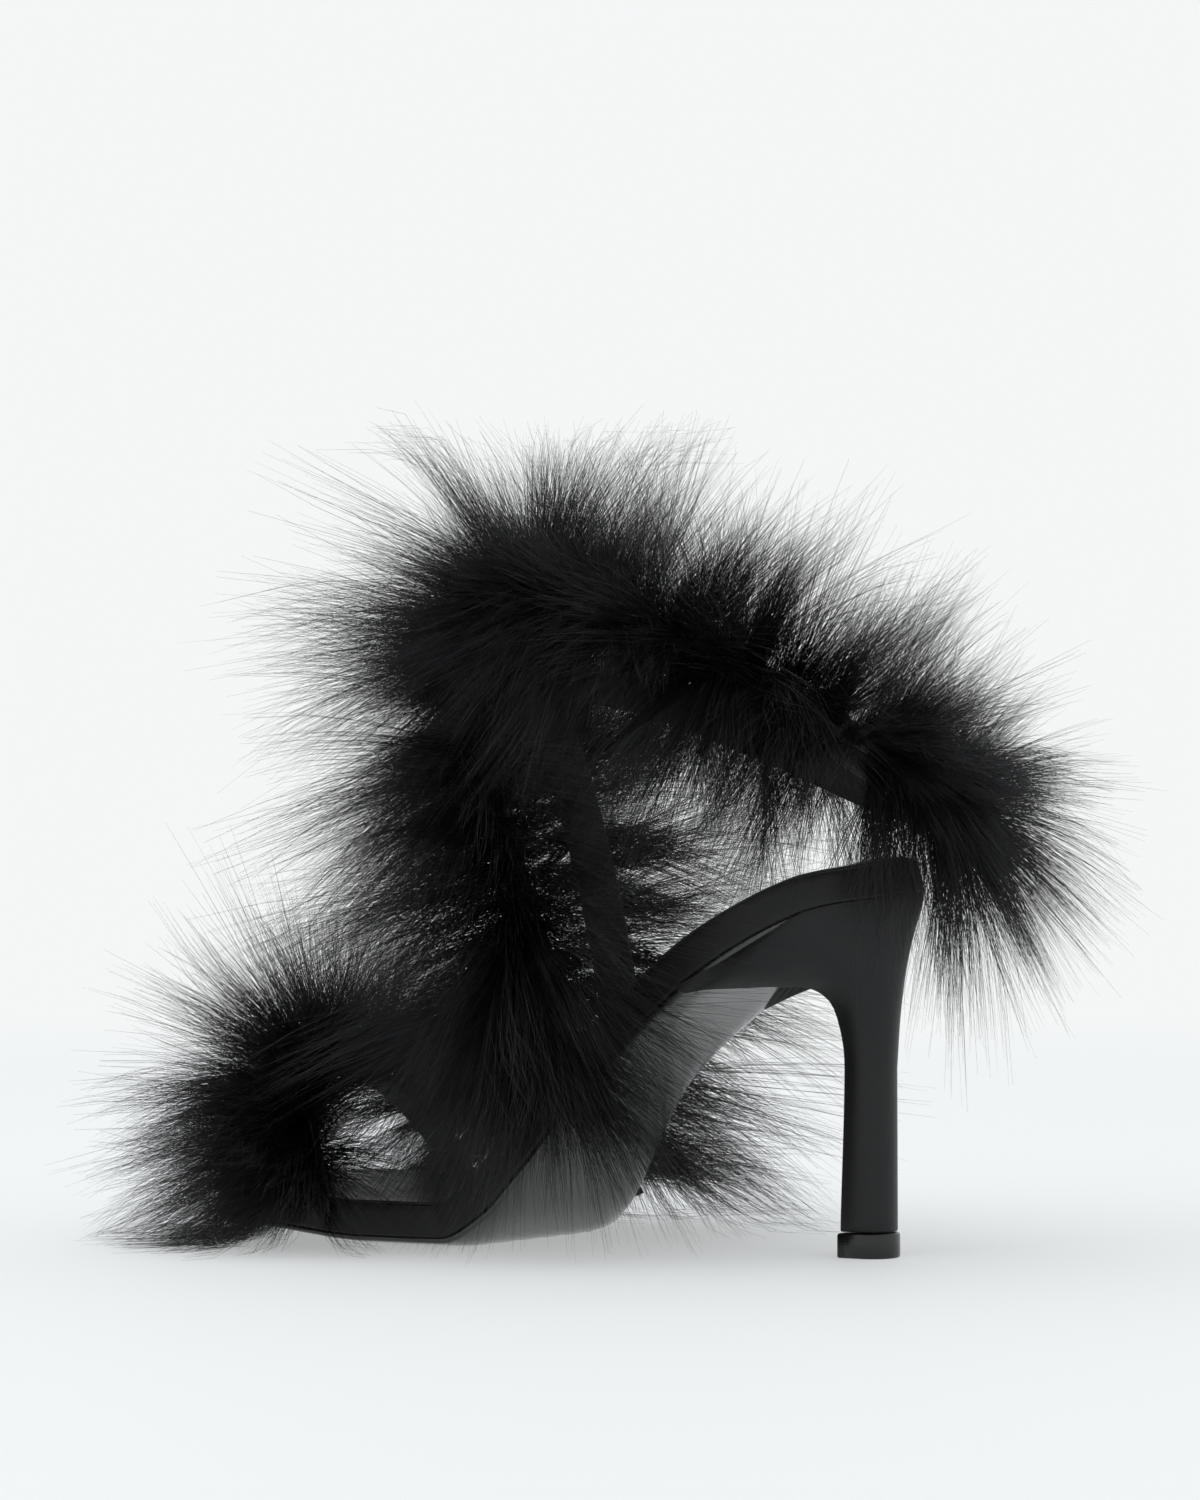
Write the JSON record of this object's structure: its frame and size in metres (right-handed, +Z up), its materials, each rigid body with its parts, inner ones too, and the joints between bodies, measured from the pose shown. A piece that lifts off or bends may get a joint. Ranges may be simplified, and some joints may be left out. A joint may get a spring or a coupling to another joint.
{
  "type": "feather boa sandal",
  "caption": "Slim high-heeled sandal with a toe strap and two straps crossing to an ankle loop, each trimmed with a fluffy feather boa.",
  "frame": {"origin": "centre of the heel tip's ground face, on the floor", "axes": "+Z up, the toe points along -Y, +X is the inner side of the right foot"},
  "size_m": [0.1754, 0.2674, 0.217],
  "materials": {
    "satin": "matte black shoe satin",
    "sole_leather": "polished black sole leather",
    "sock_leather": "smooth black lining leather",
    "fibreboard": "pressed cellulose board",
    "cork": "cork sheet",
    "foam": "thin latex foam",
    "steel": "bright steel",
    "heel_plastic": "moulded heel plastic",
    "tip_plastic": "polished black top piece",
    "ribbon": "grosgrain ribbon and twisted cord",
    "stretch": "woven elastic",
    "feather": "black marabou plumes"
  },
  "bodies": {
    "root": {"outsole": "sole_leather", "platform_filler": "cork", "insole_board": "fibreboard", "footbed_foam": "foam", "sock_lining": "sock_leather", "sole_wrap": "satin", "shank": "steel", "shank_rivet_1": "steel", "shank_rivet_2": "steel", "heel_core": "heel_plastic", "heel_cover": "satin", "heel_spigot": "steel", "heel_tip": "tip_plastic", "heel_tip_pin": "steel", "heel_screw": "steel", "heel_nail_1": "steel", "heel_nail_2": "steel", "heel_nail_3": "steel", "heel_nail_4": "steel", "toe_strap_lining": "ribbon", "inner_strap_lining": "ribbon", "outer_strap_lining": "ribbon", "toe_strap": "satin", "inner_strap": "satin", "outer_strap": "satin", "toe_boa_cord": "ribbon", "inner_boa_cord": "ribbon", "outer_boa_cord": "ribbon", "back_elastic": "stretch", "crossing_boa": "feather", "inner_upright_boa": "feather", "outer_upright_boa": "feather", "inner_ankle_boa": "feather", "outer_ankle_boa": "feather", "back_boa": "feather", "toe_boa": "feather"}
  },
  "joints": []
}
